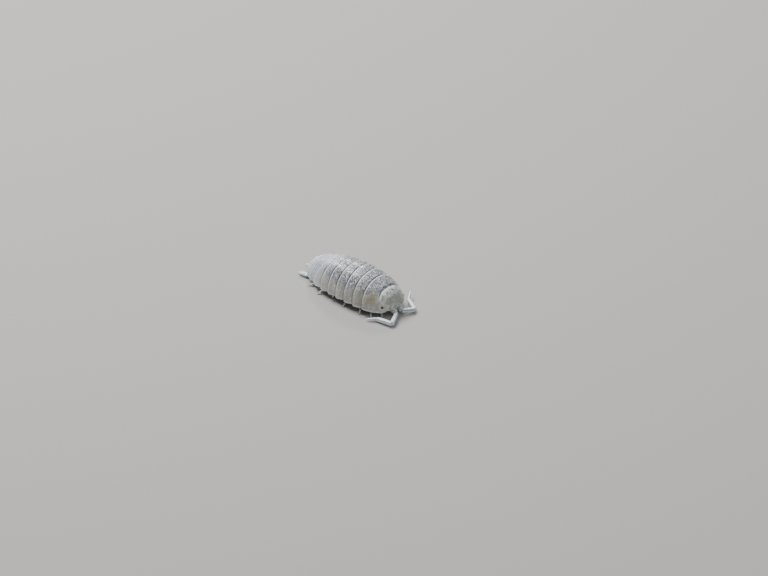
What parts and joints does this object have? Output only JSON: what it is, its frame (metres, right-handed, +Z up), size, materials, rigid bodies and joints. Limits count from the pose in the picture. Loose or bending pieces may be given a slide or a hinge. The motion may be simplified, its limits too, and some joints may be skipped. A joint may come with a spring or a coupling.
{
  "type": "woodlouse",
  "caption": "Dwarf white woodlouse at life size: domed, overlapping back plates, legs on the floor, feelers folded back and two short tail limbs.",
  "frame": {"origin": "middle of the bounding box, on the floor under the feet", "axes": "+X towards the head, +Y to the animal's left, +Z up, away from the floor"},
  "size_m": [0.006, 0.0028, 0.0015],
  "materials": {
    "shell": "satin, whitish and slightly see-through",
    "limb": "satin, bluish white",
    "belly": "soft, pale",
    "eye": "glossy black"
  },
  "bodies": {
    "root": {"head": "shell", "pereonite_1": "shell", "pereonite_2": "shell", "pereonite_3": "shell", "pereonite_4": "shell", "pereonite_5": "shell", "pereonite_6": "shell", "pereonite_7": "shell", "pleonite_1": "shell", "pleonite_2": "shell", "pleonite_3": "shell", "pleonite_4": "shell", "pleonite_5": "shell", "telson": "shell", "uropod_right": "shell", "uropod_left": "shell", "eye_right": "eye", "eye_left": "eye", "antenna_right_base": "limb", "antenna_right_article_4": "limb", "antenna_right_article_5": "limb", "antenna_right_flagellum": "limb", "antenna_left_base": "limb", "antenna_left_article_4": "limb", "antenna_left_article_5": "limb", "antenna_left_flagellum": "limb", "leg_right_1": "limb", "leg_right_2": "limb", "leg_right_3": "limb", "leg_right_4": "limb", "leg_right_5": "limb", "leg_right_6": "limb", "leg_right_7": "limb", "leg_left_1": "limb", "leg_left_2": "limb", "leg_left_3": "limb", "leg_left_4": "limb", "leg_left_5": "limb", "leg_left_6": "limb", "leg_left_7": "limb", "pleopods": "belly", "mouthparts": "belly"}
  },
  "joints": []
}
